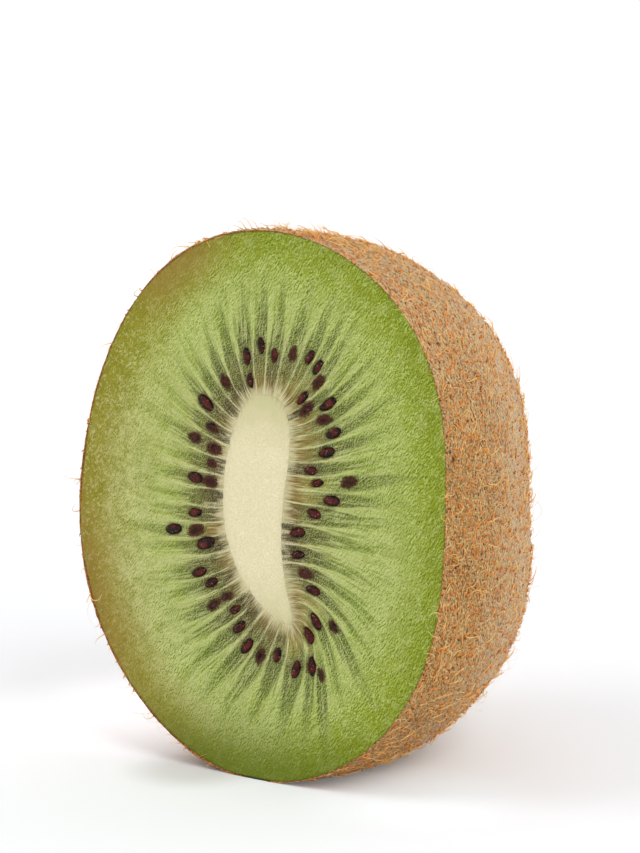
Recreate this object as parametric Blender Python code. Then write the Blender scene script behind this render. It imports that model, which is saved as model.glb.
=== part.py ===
"""Half a kiwi fruit, cut across its waist and standing on its flank.

The cut face looks along -Y and leans back a little, so the fruit's axis runs from it towards +Y
and slightly down. The origin is under the middle of the fruit, on the surface that it rests on.

Places on the fruit are worked out in three steps, all in millimetres:
- across, up and behind are distances from the middle of the cut face, in the leaning face's frame;
- turn is an angle round the face, anticlockwise from three o'clock as the face is looked at;
- reach runs along a ray of the flesh, from 0 at the pale core to 1 at the skin.
"""

import math

import bmesh
import bpy
import numpy as np
from mathutils import Vector

MM = 0.001

# The cut face: from its middle to the skin at each clock hour, anticlockwise from three o'clock
HOUR_RADII = (23.2, 24.8, 27.3, 28.8, 28.5, 25.8, 24.4, 25.2, 27.0, 29.2, 28.9, 25.9)
FACE_MIDDLE = (0.55, -14.3, 28.8)
FACE_LEAN = math.radians(8.0)

# The body behind the face: a blunt dome, squarer where the exponent is higher
HALF_DEPTH = 32.0
BLUNT_RIGHT = 3.1
BLUNT_TOP = 3.0
BLUNT_LEFT = 2.6
BLUNT_BOTTOM = 2.9
BODY_SIDES = 84
BODY_RINGS = 53

# A shallow hollow pressed into the right flank near the far end
HOLLOW_SHARE = 0.074
HOLLOW_TURN = math.radians(16.0)
HOLLOW_TURN_SPREAD = math.radians(33.0)
HOLLOW_DEPTH = 0.79
HOLLOW_DEPTH_SPREAD = 0.41

# The far end: a shallow dimple with the round scar of the stalk in it
DIMPLE_DEPTH = 1.3
DIMPLE_RADIUS = 6.0
SCAR_RADIUS = 2.2
SCAR_HEIGHT = 1.0

# The pale core: a blunt spindle, narrower at the bottom, whose two ends bend to the right
CORE_HALF_WIDTH = 4.0
CORE_TAPER = 0.18
CORE_HALF_HEIGHT = 12.0
CORE_BLUNTNESS = 0.8
CORE_DEPTH = 23.0
CORE_DROP = -0.35
CORE_OFFSET = -1.2
CORE_SLANT = -0.035
CORE_BEND = 0.0202
CORE_TWIST = -0.0011
CORE_SIDES = 48
CORE_RINGS = 25
GAP = 0.3

# Rays of the flesh leave the core square to its edge and arrive square to the skin
RAY_STIFFNESS = 0.9

# The seed chambers round the core, from just above three o'clock, anticlockwise. Each digit is
# the way to the next chamber, in steps of 1.5 degrees.
FIRST_CHAMBER = math.radians(5.0)
CHAMBER_STEPS = "445554353467567666665533437465677787567566753"

# How far out the seeds of each chamber sit: 1 is next to the core, and 9 is half way to the skin.
# A letter, from a, is the same place for a seed that has sunk into the flesh.
FIRST_SEEDS = "6h356e6cf77f562.d.5ceb4.4d354c345e464j5h4c224"
SECOND_SEEDS = ".4......3.....5.....b.a..7...e......8........"
SEED_ROW_REACH = 0.05
LEAST_SEED_REACH = 0.095
SEED_LENGTH = 2.0
SEED_WIDTH = 1.15
SEED_THICKNESS = 0.8
SEED_POINT = 0.3
SEED_UNEVENNESS = 0.12
SEED_SIDES = 8
SEED_RINGS = 5
PROUD = 0.25
SUNK_PROUD = 0.08
SEED_DRAW = 11

FLESH_COLOUR = (0.35, 0.45, 0.10, 1.0)
CORE_COLOUR = (0.78, 0.74, 0.46, 1.0)


def face_to_world(across, up, behind):
    """The point that lies so far across, up and behind the middle of the leaning cut face."""
    x = FACE_MIDDLE[0] + across
    y = FACE_MIDDLE[1] + up * math.sin(FACE_LEAN) + behind * math.cos(FACE_LEAN)
    z = FACE_MIDDLE[2] + up * math.cos(FACE_LEAN) - behind * math.sin(FACE_LEAN)
    return Vector((x, y, z)) * MM


def cut_plane():
    """A point of the cut face and the direction that it looks in."""
    middle = face_to_world(0.0, 0.0, 0.0)
    return middle, (face_to_world(0.0, 0.0, -1.0) - middle).normalized()


def girth(turn):
    """Distance from the face's middle to the skin, a smooth closed curve through the hour radii."""
    hours = len(HOUR_RADII)
    waves = np.fft.rfft(HOUR_RADII) / hours
    waves[1:-1] *= 2.0
    return sum((wave * np.exp(1j * order * turn)).real for order, wave in enumerate(waves))


def bluntness(turn):
    """The dome's exponent on this side, blended between right, top, left and bottom."""
    side = math.cos(turn) ** 2 * (BLUNT_RIGHT if math.cos(turn) > 0 else BLUNT_LEFT)
    return side + math.sin(turn) ** 2 * (BLUNT_TOP if math.sin(turn) > 0 else BLUNT_BOTTOM)


def dome_point(turn, rise):
    """The skin at this turn, with rise going from 0 at the cut face to a quarter turn at the end."""
    power = 2.0 / bluntness(turn)
    depth = abs(math.sin(rise)) ** power
    width = abs(math.cos(rise)) ** power
    aside = (math.remainder(turn - HOLLOW_TURN, math.tau) / HOLLOW_TURN_SPREAD) ** 2
    along = ((depth - HOLLOW_DEPTH) / HOLLOW_DEPTH_SPREAD) ** 2
    radius = girth(turn) * width * (1.0 - HOLLOW_SHARE * math.exp(-aside - along))
    dimple = DIMPLE_DEPTH * math.exp(-((radius / DIMPLE_RADIUS) ** 2))
    behind = math.copysign(HALF_DEPTH * depth - dimple, rise)
    return face_to_world(radius * math.cos(turn), radius * math.sin(turn), behind)


def core_section(turn, shrink=1.0, growth=0.0):
    """(across, up) of the core's outline, drawn in towards its middle line and grown outwards."""
    side, top = (math.copysign(abs(part) ** CORE_BLUNTNESS, part) for part in (math.cos(turn), math.sin(turn)))
    up = (CORE_HALF_HEIGHT + growth) * top * shrink + CORE_DROP
    half_width = CORE_HALF_WIDTH * (1.0 + CORE_TAPER * top) + growth
    bend = CORE_OFFSET + CORE_SLANT * up + CORE_BEND * up**2 + CORE_TWIST * up**3
    return half_width * side * shrink + bend, up


def core_point(turn, rise, growth):
    """The core's surface, or with growth the wall of its pocket."""
    across, up = core_section(turn, math.cos(rise), growth)
    return face_to_world(across, up, (CORE_DEPTH + growth) * math.sin(rise))


def square_to(outline, turn):
    """A point of a closed outline and the unit vector that points straight out of it there."""
    step = 0.001
    along = outline(turn + step) - outline(turn - step)
    return outline(turn), np.array((along[1], -along[0])) / np.hypot(*along)


def core_outline(turn):
    return np.array(core_section(turn))


def skin_outline(turn):
    """The cut edge, at the turn that shares the core's eccentric angle."""
    tall = HOUR_RADII[3] * math.sin(turn)
    wide = HOUR_RADII[0] * math.cos(turn)
    clock = math.atan2(tall, wide)
    return girth(clock) * np.array((math.cos(clock), math.sin(clock)))


def ray_point(turn, reach):
    """The point (across, up) of the cut face that lies this far along the ray at this turn."""
    start, out_of_core = square_to(core_outline, turn)
    end, out_of_skin = square_to(skin_outline, turn)
    pull = RAY_STIFFNESS * np.hypot(*(end - start))
    near = (1.0 + 2.0 * reach) * (1.0 - reach) ** 2
    far = reach**2 * (3.0 - 2.0 * reach)
    leave = reach * (1.0 - reach) ** 2 * pull
    arrive = reach**2 * (reach - 1.0) * pull
    return near * start + far * end + leave * out_of_core + arrive * out_of_skin


def seed_places():
    """(turn, reach, sunk) of every seed, one or two to a chamber."""
    steps = [int(step) for step in CHAMBER_STEPS]
    draw = np.random.default_rng(SEED_DRAW)
    turn = FIRST_CHAMBER
    for step, *seeds in zip(steps, FIRST_SEEDS, SECOND_SEEDS):
        for mark in seeds:
            if mark == ".":
                continue
            sunk = mark.isalpha()
            row = ord(mark) - ord("a") + 1 if sunk else int(mark)
            reach = max(SEED_ROW_REACH * row, LEAST_SEED_REACH)
            yield turn + draw.normal(0.0, 0.006), reach, sunk
        turn += step * math.tau / sum(steps)


def ball(sides, rings, place):
    """A closed ball whose points are moved to place(turn, rise), with its poles along the depth."""
    shape = bmesh.new()
    bmesh.ops.create_uvsphere(shape, u_segments=sides, v_segments=rings, radius=1.0)
    for point in shape.verts:
        x, y, z = point.co
        point.co = place(math.atan2(y, x), math.asin(max(-1.0, min(1.0, z))))
    bmesh.ops.recalc_face_normals(shape, faces=shape.faces)
    return shape


def slice_off(shape, point, outward):
    """Cuts away what lies beyond a plane and closes the cut with one flat face."""
    everything = shape.verts[:] + shape.edges[:] + shape.faces[:]
    bmesh.ops.bisect_plane(shape, geom=everything, plane_co=point, plane_no=outward, clear_outer=True)
    rim = [edge for edge in shape.edges if edge.is_boundary]
    bmesh.ops.holes_fill(shape, edges=rim)
    bmesh.ops.recalc_face_normals(shape, faces=shape.faces)


def principled(name, colour, roughness):
    material = bpy.data.materials.new(name)
    material.use_nodes = True
    shader = material.node_tree.nodes["Principled BSDF"]
    shader.inputs["Base Color"].default_value = colour
    shader.inputs["Roughness"].default_value = roughness
    shader.inputs["Metallic"].default_value = 0.0
    return material


def named_object(name, shape, collection, material=None):
    mesh = bpy.data.meshes.new(name)
    shape.to_mesh(mesh)
    shape.free()
    mesh.shade_smooth()
    mesh.set_sharp_from_angle(angle=math.radians(35.0))
    if material:
        mesh.materials.append(material)
    thing = bpy.data.objects.new(name, mesh)
    collection.objects.link(thing)
    return thing


def named_collection(name):
    collection = bpy.data.collections.new(name)
    bpy.context.scene.collection.children.link(collection)
    return collection


def make_fruit(parts):
    """The half fruit as one solid, cut flat in front and resting on a small flat spot."""
    shape = ball(BODY_SIDES, BODY_RINGS, dome_point)
    slice_off(shape, *cut_plane())
    slice_off(shape, Vector((0.0, 0.0, 0.0)), Vector((0.0, 0.0, -1.0)))
    return named_object("fruit_body", shape, parts, principled("kiwi_flesh", FLESH_COLOUR, 0.45))


def make_core(parts):
    shape = ball(CORE_SIDES, CORE_RINGS, lambda turn, rise: core_point(turn, rise, 0.0))
    slice_off(shape, *cut_plane())
    return named_object("core", shape, parts, principled("kiwi_core", CORE_COLOUR, 0.5))


def make_pocket(helpers):
    """The hollow that the core sits in, a little larger than the core all round."""
    shape = ball(CORE_SIDES, CORE_RINGS, lambda turn, rise: core_point(turn, rise, GAP))
    return named_object("core_pocket", shape, helpers)


def make_seed(number, turn, reach, sunk, draw, helpers):
    """A flat teardrop lying along its ray, with the thin end towards the core."""
    middle = ray_point(turn, reach)
    along = ray_point(turn, reach + 0.01) - ray_point(turn, reach - 0.01)
    tilt = math.atan2(along[1], along[0]) + draw.normal(0.0, 0.15)
    size = 1.0 + SEED_UNEVENNESS * draw.normal()
    proud = SUNK_PROUD if sunk else PROUD

    def place(around, rise):
        long = math.sin(rise)
        fullness = 1.0 - SEED_POINT * (1.0 - long) / 2.0
        out = size * SEED_LENGTH / 2.0 * long
        side = size * SEED_WIDTH / 2.0 * math.cos(rise) * math.cos(around) * fullness
        lift = SEED_THICKNESS / 2.0 * math.cos(rise) * math.sin(around) * fullness
        across = middle[0] + out * math.cos(tilt) - side * math.sin(tilt)
        up = middle[1] + out * math.sin(tilt) + side * math.cos(tilt)
        return face_to_world(across, up, SEED_THICKNESS / 2.0 - proud + lift)

    return named_object(f"seed_{number}", ball(SEED_SIDES, SEED_RINGS, place), helpers)


def make_scar(helpers):
    """The low round button of the stalk's scar, in the dimple at the far end."""

    def place(around, rise):
        across = SCAR_RADIUS * math.cos(around) * math.cos(rise)
        up = SCAR_RADIUS * math.sin(around) * math.cos(rise)
        return face_to_world(across, up, HALF_DEPTH - DIMPLE_DEPTH + SCAR_HEIGHT * math.sin(rise))

    return named_object("stalk_scar", ball(16, 9, place), helpers)


def combine(target, operation, **operand):
    """Applies one Boolean to the target, so that its mesh holds the result."""
    boolean = target.modifiers.new("combine", "BOOLEAN")
    boolean.operation = operation
    for setting, value in operand.items():
        setattr(boolean, setting, value)
    bpy.context.view_layer.update()
    result = bpy.data.meshes.new_from_object(target.evaluated_get(bpy.context.evaluated_depsgraph_get()))
    target.modifiers.remove(boolean)
    target.data = result


def clear(collection):
    for thing in list(collection.objects):
        bpy.data.objects.remove(thing)
    bpy.data.collections.remove(collection)


def main():
    for thing in list(bpy.data.objects):
        bpy.data.objects.remove(thing)
    parts = named_collection("kiwi_half")
    cutters = named_collection("cutters")
    fused = named_collection("fused")

    fruit = make_fruit(parts)
    make_core(parts)

    combine(fruit, "DIFFERENCE", object=make_pocket(cutters))
    draw = np.random.default_rng(SEED_DRAW + 1)
    for number, (turn, reach, sunk) in enumerate(seed_places()):
        make_seed(number, turn, reach, sunk, draw, fused)
    make_scar(fused)
    combine(fruit, "UNION", operand_type="COLLECTION", collection=fused)
    clear(cutters)
    clear(fused)


main()
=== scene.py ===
"""Half a kiwi fruit on a white studio sweep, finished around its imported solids.

Places on the fruit are worked out as in its source, in millimetres: across, up and behind the middle of
the leaning cut face; turn is an angle round the face, anticlockwise from three o'clock; reach runs
along a ray of the flesh, from 0 at the pale core to 1 at the skin; rise goes from 0 at the cut face to a
quarter turn at the far end. Relief is a height that stands out of the cut face, towards the viewer.
"""

import math

import bpy
import numpy as np
from bpy.props import FloatProperty, FloatVectorProperty, IntProperty, PointerProperty
from mathutils import Matrix, Vector, noise


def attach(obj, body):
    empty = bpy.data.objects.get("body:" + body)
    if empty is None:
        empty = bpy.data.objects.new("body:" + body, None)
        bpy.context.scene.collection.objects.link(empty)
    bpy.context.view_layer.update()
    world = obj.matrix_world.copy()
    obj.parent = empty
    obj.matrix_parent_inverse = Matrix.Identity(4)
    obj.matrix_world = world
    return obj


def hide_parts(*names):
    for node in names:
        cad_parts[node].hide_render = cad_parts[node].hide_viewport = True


bl_info = {
    "name": "Half kiwi fruit",
    "version": (1, 0, 0),
    "blender": (4, 5, 0),
    "location": "View3D > Sidebar > Kiwi",
    "description": "Builds a cut kiwi fruit with its flesh, core, seeds, skin and fuzz",
    "category": "Add Mesh",
}

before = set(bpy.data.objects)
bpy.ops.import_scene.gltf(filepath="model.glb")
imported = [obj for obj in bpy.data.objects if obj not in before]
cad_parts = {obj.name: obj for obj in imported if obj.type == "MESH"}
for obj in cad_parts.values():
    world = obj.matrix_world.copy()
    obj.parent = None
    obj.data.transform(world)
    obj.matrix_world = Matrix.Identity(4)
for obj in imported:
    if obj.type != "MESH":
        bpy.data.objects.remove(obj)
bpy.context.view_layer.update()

MM = 0.001

# The cut face and the dome behind it, as the solids have them
HOUR_RADII = (23.2, 24.8, 27.3, 28.8, 28.5, 25.8, 24.4, 25.2, 27.0, 29.2, 28.9, 25.9)
FACE_MIDDLE = (0.55, -14.3, 28.8)
FACE_LEAN = math.radians(8.0)
HALF_DEPTH = 32.0
BLUNT_RIGHT = 3.1
BLUNT_TOP = 3.0
BLUNT_LEFT = 2.6
BLUNT_BOTTOM = 2.9
HOLLOW_SHARE = 0.074
HOLLOW_TURN = math.radians(16.0)
HOLLOW_TURN_SPREAD = math.radians(33.0)
HOLLOW_DEPTH = 0.79
HOLLOW_DEPTH_SPREAD = 0.41
DIMPLE_DEPTH = 1.3
DIMPLE_RADIUS = 6.0
SCAR_RADIUS = 2.2
SCAR_HEIGHT = 1.0

CORE_HALF_WIDTH = 4.0
CORE_TAPER = 0.18
CORE_HALF_HEIGHT = 12.0
CORE_BLUNTNESS = 0.8
CORE_DEPTH = 23.0
CORE_DROP = -0.35
CORE_OFFSET = -1.2
CORE_SLANT = -0.035
CORE_BEND = 0.0202
CORE_TWIST = -0.0011
RAY_STIFFNESS = 0.9

# The seed chambers and the seeds in them, as in the source
FIRST_CHAMBER = math.radians(5.0)
CHAMBER_STEPS = "445554353467567666665533437465677787567566753"
FIRST_SEEDS = "6h356e6cf77f562.d.5ceb4.4d354c345e464j5h4c224"
SECOND_SEEDS = ".4......3.....5.....b.a..7...e......8........"
SEED_ROW_REACH = 0.05
LEAST_SEED_REACH = 0.095
SEED_THICKNESS = 0.8
SEED_POINT = 0.3
SEED_UNEVENNESS = 0.12
PROUD = 0.25
SUNK_PROUD = 0.08
SEED_DRAW = 11
SEED_STRAY = 0.006
SEED_SWAY = 0.15

# The space in which the flesh's fibres run: the girth's radius and a ray's length
RAY_GIRTH = 19.0
RAY_LENGTH = 18.0

# No hair comes lower than this, so that none goes into the floor
HAIR_CLEARANCE = 0.04 * MM

# How far the flesh reaches in under the core, and the turns and rings of the meshes.
# Even a big mesh stays well under the count of faces past which its export is thinned
FLESH_OVERLAP = -0.035
FLESH_TURNS = 760
FLESH_RINGS = 104
CORE_TURNS = 300
CORE_RINGS = 44
SKIN_TURNS = 640
SKIN_RINGS = 126

# The photograph's frame and the place in it of the middle of the cut face, in pixels
PHOTO_WIDTH = 640
PHOTO_HEIGHT = 853
MIDDLE_IN_PHOTO = (262.0, 504.0)
SENSOR = 36.0


def tone(red, green, blue):
    """A screen colour, 0 to 255, as the linear colour that Blender's sockets take."""
    shares = np.array((red, green, blue)) / 255.0
    linear = np.where(shares <= 0.04045, shares / 12.92, ((shares + 0.055) / 1.055) ** 2.4)
    return tuple(float(share) for share in linear)


def length_setting(name, description, default):
    return FloatProperty(
        name=name, description=description, default=default, min=0.0, unit="LENGTH", precision=5
    )


def angle_setting(name, description, degrees):
    return FloatProperty(name=name, description=description, default=math.radians(degrees), subtype="ANGLE")


def power_setting(name, description, default):
    return FloatProperty(name=name, description=description, default=default, unit="POWER")


def colour_setting(name, description, *shade):
    """A colour whose default is given as a screen colour."""
    return FloatVectorProperty(
        name=name, description=description, default=tone(*shade), subtype="COLOR", size=3, min=0.0, max=1.0
    )


class KiwiShape(bpy.types.PropertyGroup):
    """Sizes that change how the fruit looks without changing its outline."""

    skin_thickness: length_setting("Skin thickness", "Wall of the brown skin at the cut", 0.17 * MM)
    seed_length: length_setting("Seed length", "A middling seed from end to end", 2.0 * MM)
    seed_width: length_setting("Seed width", "A middling seed across", 1.15 * MM)
    pocket_depth: length_setting("Pocket depth", "How far the seed pockets sink into the cut", 0.16 * MM)
    grain_height: length_setting("Grain height", "Height of the flesh's wet grains", 0.045 * MM)
    hair_length: length_setting("Hair length", "A middling hair of the fuzz", 2.0 * MM)
    hair_width: length_setting("Hair width", "A hair across its root", 0.085 * MM)
    wisp_length: length_setting("Wisp length", "A long pale hair that stands off the skin", 2.6 * MM)
    hair_count: IntProperty(
        name="Hairs a coat", description="Hairs in each coat of fuzz", default=6000, min=0
    )


class KiwiColours(bpy.types.PropertyGroup):
    """Colours of the flesh, the core, the seeds and the skin."""

    flesh_rim: colour_setting("Flesh at the skin", "Dark olive green under the skin", 118, 136, 0)
    flesh_outer: colour_setting("Outer flesh", "Fresh green of the outer flesh", 150, 166, 24)
    flesh_middle: colour_setting("Middle flesh", "Pale green of the ray zone", 188, 202, 104)
    flesh_inner: colour_setting("Inner flesh", "Khaki between core and seeds", 152, 128, 72)
    ridge: colour_setting("Ridges", "Pale ridges that run out from the walls", 198, 204, 134)
    septum: colour_setting("Walls", "Cream walls between the seed pockets", 220, 212, 162)
    pocket: colour_setting("Pockets", "Dark olive of the seed pockets", 66, 50, 32)
    lane: colour_setting("Lanes", "Green lanes beyond the seed pockets", 98, 126, 22)
    # Painted highlight colour of the flesh's wet grains and strokes
    painted_glint: colour_setting("Painted glints", "Pale wet strokes of the flesh", 200, 218, 122)
    warm_left: colour_setting("Left flesh", "Yellower flesh towards the left", 172, 172, 54)
    bruise: colour_setting("Bruise", "Brownish tint of the left rim", 160, 120, 62)
    core: colour_setting("Core", "Cream of the middle of the core", 228, 218, 180)
    core_end: colour_setting("Core edge", "Greener cream at the core's edge and ends", 194, 190, 138)
    seed: colour_setting("Seed", "Dark maroon of a seed", 74, 16, 16)
    seed_dark: colour_setting("Seed shade", "Almost black maroon of a seed's edge", 28, 8, 8)
    seed_film: colour_setting("Seed film", "Greyish brown film on a sunk seed", 78, 52, 38)
    skin: colour_setting("Skin", "Olive tan ground of the skin", 182, 142, 80)
    skin_pale: colour_setting("Pale skin", "Dry pale crust of the skin", 242, 212, 158)
    # Painted shadow beside each orange spot of the skin
    spot_shadow: colour_setting("Spot shadows", "Dark brown at the roots of hairs", 84, 38, 8)
    skin_warm: colour_setting("Skin spots", "Orange spots of the skin", 218, 126, 46)
    hair: colour_setting("Hair", "Orange tan of a hair", 255, 200, 106)
    hair_tip: colour_setting("Hair tip", "Pale straw of a hair's tip", 255, 226, 160)


class StudioSettings(bpy.types.PropertyGroup):
    """The photograph's camera and soft studio light."""

    distance: length_setting("Camera distance", "From the camera to the cut face", 0.4)
    lens: FloatProperty(name="Lens", description="Focal length in millimetres", default=160.0)
    azimuth: angle_setting("Azimuth", "Camera turned round", 35.0)
    elevation: angle_setting("Elevation", "Camera raised", 11.0)
    sky: FloatProperty(name="Surround", description="Strength of the white surround", default=0.67)
    left_light: power_setting("Left light", "Power of the soft box at the left", 2.8)
    right_light: power_setting("Right light", "Power of the soft box at the right", 4.8)


def packed(*parts):
    """Numbers or arrays, spread over a common shape and put together as vectors."""
    return np.stack(np.broadcast_arrays(*parts), axis=-1)


def along_face(across, up, behind):
    """World places, in metres, of points given in the leaning cut face's frame."""
    lean_sin, lean_cos = math.sin(FACE_LEAN), math.cos(FACE_LEAN)
    x = FACE_MIDDLE[0] + across
    y = FACE_MIDDLE[1] + up * lean_sin + behind * lean_cos
    z = FACE_MIDDLE[2] + up * lean_cos - behind * lean_sin
    return packed(x, y, z) * MM


def to_world(places):
    """World places of an array of (across, up, behind)."""
    return along_face(*np.moveaxis(places, -1, 0))


def girth(turn):
    """Distance from the face's middle to the skin, a smooth closed curve through the hour radii."""
    waves = np.fft.rfft(HOUR_RADII) / len(HOUR_RADII)
    waves[1:-1] *= 2.0
    return (waves * np.exp(1j * np.multiply.outer(turn, np.arange(len(waves))))).real.sum(axis=-1)


def dome(turn, rise, inset=0.0):
    """(across, up, behind) of the skin's outside, or of a surface so far inside it."""
    right, top = np.cos(turn), np.sin(turn)
    exponent = right**2 * np.where(right > 0, BLUNT_RIGHT, BLUNT_LEFT)
    exponent = exponent + top**2 * np.where(top > 0, BLUNT_TOP, BLUNT_BOTTOM)
    depth = np.sin(rise) ** (2.0 / exponent)
    width = np.maximum(np.cos(rise), 0.0) ** (2.0 / exponent)
    aside = ((turn - HOLLOW_TURN + math.pi) % math.tau - math.pi) / HOLLOW_TURN_SPREAD
    along = (depth - HOLLOW_DEPTH) / HOLLOW_DEPTH_SPREAD
    radius = (girth(turn) - inset) * width * (1.0 - HOLLOW_SHARE * np.exp(-(aside**2) - along**2))
    dimple = DIMPLE_DEPTH * np.exp(-((radius / DIMPLE_RADIUS) ** 2))
    return radius * right, radius * top, (HALF_DEPTH - inset) * depth - dimple


def even_rises(count):
    """Rises that are evenly spaced along the dome's profile, from the cut to the far end."""
    fine = np.linspace(0.0, math.pi / 2.0, 4000)
    depth = HALF_DEPTH * np.sin(fine) ** (2.0 / BLUNT_TOP)
    width = HOUR_RADII[0] * np.cos(fine) ** (2.0 / BLUNT_TOP)
    walked = np.append(0.0, np.cumsum(np.hypot(np.diff(depth), np.diff(width))))
    return np.interp(np.linspace(0.0, walked[-1], count), walked, fine)


def core_section(turn, shrink=1.0, growth=0.0):
    """(across, up) of the core's outline, drawn in towards its middle line and grown outwards."""
    side, top = (np.sign(part) * np.abs(part) ** CORE_BLUNTNESS for part in (np.cos(turn), np.sin(turn)))
    up = (CORE_HALF_HEIGHT + growth) * top * shrink + CORE_DROP
    half_width = CORE_HALF_WIDTH * (1.0 + CORE_TAPER * top) + growth
    bend = CORE_OFFSET + CORE_SLANT * up + CORE_BEND * up**2 + CORE_TWIST * up**3
    return half_width * side * shrink + bend, up


def core_surface(turn, rise, growth=0.0):
    """(across, up, behind) of the core's blunt spindle."""
    across, up = core_section(turn, np.cos(rise), growth)
    return across, up, (CORE_DEPTH + growth) * np.sin(rise)


def core_outline(turn):
    return np.stack(core_section(turn), axis=-1)


def clock_of(turn):
    """The true angle round the face of the ray that leaves the core at this turn."""
    return np.arctan2(HOUR_RADII[3] * np.sin(turn), HOUR_RADII[0] * np.cos(turn))


def skin_outline(turn):
    clock = clock_of(turn)
    return girth(clock)[..., None] * np.stack((np.cos(clock), np.sin(clock)), axis=-1)


def square_to(outline, turn):
    """Points of a closed outline and the unit vectors that point straight out of it there."""
    step = 0.001
    along = outline(turn + step) - outline(turn - step)
    out = np.stack((along[..., 1], -along[..., 0]), axis=-1)
    return outline(turn), out / np.linalg.norm(out, axis=-1, keepdims=True)


def ray_points(turn, reach, inset=0.0):
    """(across, up) along the rays, which leave the core and reach the skin square to them."""
    start, out_of_core = square_to(core_outline, turn)
    end, out_of_skin = square_to(skin_outline, turn)
    end = end - inset * out_of_skin
    reach = np.asarray(reach)[..., None]
    pull = RAY_STIFFNESS * np.linalg.norm(end - start, axis=-1, keepdims=True)
    near = (1.0 + 2.0 * reach) * (1.0 - reach) ** 2
    far = reach**2 * (3.0 - 2.0 * reach)
    leave = reach * (1.0 - reach) ** 2 * pull
    arrive = reach**2 * (reach - 1.0) * pull
    place = near * start + far * end + leave * out_of_core + arrive * out_of_skin
    return place[..., 0], place[..., 1]


def chamber_turns():
    """The turn of each seed chamber's middle."""
    steps = np.array([int(step) for step in CHAMBER_STEPS])
    return FIRST_CHAMBER + (np.cumsum(steps) - steps) * math.tau / steps.sum()


def seed_rows(marks):
    """(row, sunk) of each seed that a chamber's marks stand for."""
    seeds_here = [mark for mark in marks if mark != "."]
    return [(ord(mark) - ord("a") + 1, True) if mark.isalpha() else (int(mark), False) for mark in seeds_here]


def seeds():
    """One dict a seed: its place, tilt, size and whether it has sunk into the flesh."""
    place_draw = np.random.default_rng(SEED_DRAW)
    shape_draw = np.random.default_rng(SEED_DRAW + 1)
    found = []
    for turn, *marks in zip(chamber_turns(), FIRST_SEEDS, SECOND_SEEDS):
        for row, sunk in seed_rows(marks):
            reach = max(SEED_ROW_REACH * row, LEAST_SEED_REACH)
            own_turn = turn + place_draw.normal(0.0, SEED_STRAY)
            across, up = ray_points(np.array([own_turn] * 3), reach + np.array((-0.01, 0.0, 0.01)))
            tilt = math.atan2(up[2] - up[0], across[2] - across[0]) + shape_draw.normal(0.0, SEED_SWAY)
            size = 1.0 + SEED_UNEVENNESS * shape_draw.normal()
            found.append({"across": across[1], "up": up[1], "tilt": tilt, "size": size, "sunk": sunk})
    return found


def beside_seed(seed, out, side):
    """(across, up) of points so far out along a seed and so far aside of it."""
    tilt_sin, tilt_cos = math.sin(seed["tilt"]), math.cos(seed["tilt"])
    return seed["across"] + out * tilt_cos - side * tilt_sin, seed["up"] + out * tilt_sin + side * tilt_cos


def smooth_step(value, low, high):
    share = np.clip((value - low) / (high - low), 0.0, 1.0)
    return share * share * (3.0 - 2.0 * share)


def lumps(x, y, z, size, layer):
    """Smooth noise, -1 to 1, whose lumps are so many millimetres across."""
    places = packed(x, y, z)
    flat = places.reshape(-1, 3) / size + 17.3 * layer
    return np.array([noise.noise(place) for place in flat.tolist()]).reshape(places.shape[:-1])


def grid_mesh(name, rows, first_pole, last_pole, attributes):
    """A closed mesh of rings, with a single point at each end and vector attributes on its points."""
    rings, sides = rows.shape[:2]
    points = np.concatenate((rows.reshape(-1, 3), [first_pole, last_pole]))
    ring, side = np.meshgrid(np.arange(rings - 1) * sides, np.arange(sides), indexing="ij")
    after = (side + 1) % sides
    quads = packed(ring + side, ring + after, ring + sides + after, ring + sides + side).reshape(-1, 4)
    around = np.arange(sides)
    onwards = (around + 1) % sides
    first, base = rings * sides, (rings - 1) * sides
    front = packed(first, onwards, around)
    back = packed(first + 1, base + around, base + onwards)
    faces = quads.tolist() + front.tolist() + back.tolist()
    corners = points[quads]
    middle = points.mean(axis=0)
    spin = np.cross(corners[:, 1] - corners[:, 0], corners[:, 2] - corners[:, 0])
    if (spin * (corners.mean(axis=1) - middle)).sum() < 0:
        faces = [face[::-1] for face in faces]
    mesh = bpy.data.meshes.new(name)
    mesh.from_pydata(points.tolist(), [], faces)
    for label, values in attributes.items():
        poles = np.stack((values[0].mean(axis=0), values[-1].mean(axis=0)))
        flat = np.concatenate((values.reshape(-1, 3), poles))
        mesh.attributes.new(label, "FLOAT_VECTOR", "POINT").data.foreach_set("vector", flat.ravel())
    mesh.shade_smooth()
    return mesh


def show(name, mesh, material, slot, *nodes):
    """Adds a finished piece that rides with the fruit and stands for its solids."""
    piece = bpy.data.objects.new(name, mesh)
    mesh.materials.clear()
    mesh.materials.append(material)
    bpy.context.scene.collection.objects.link(piece)
    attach(piece, "root")
    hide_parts(*nodes)
    return piece


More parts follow.
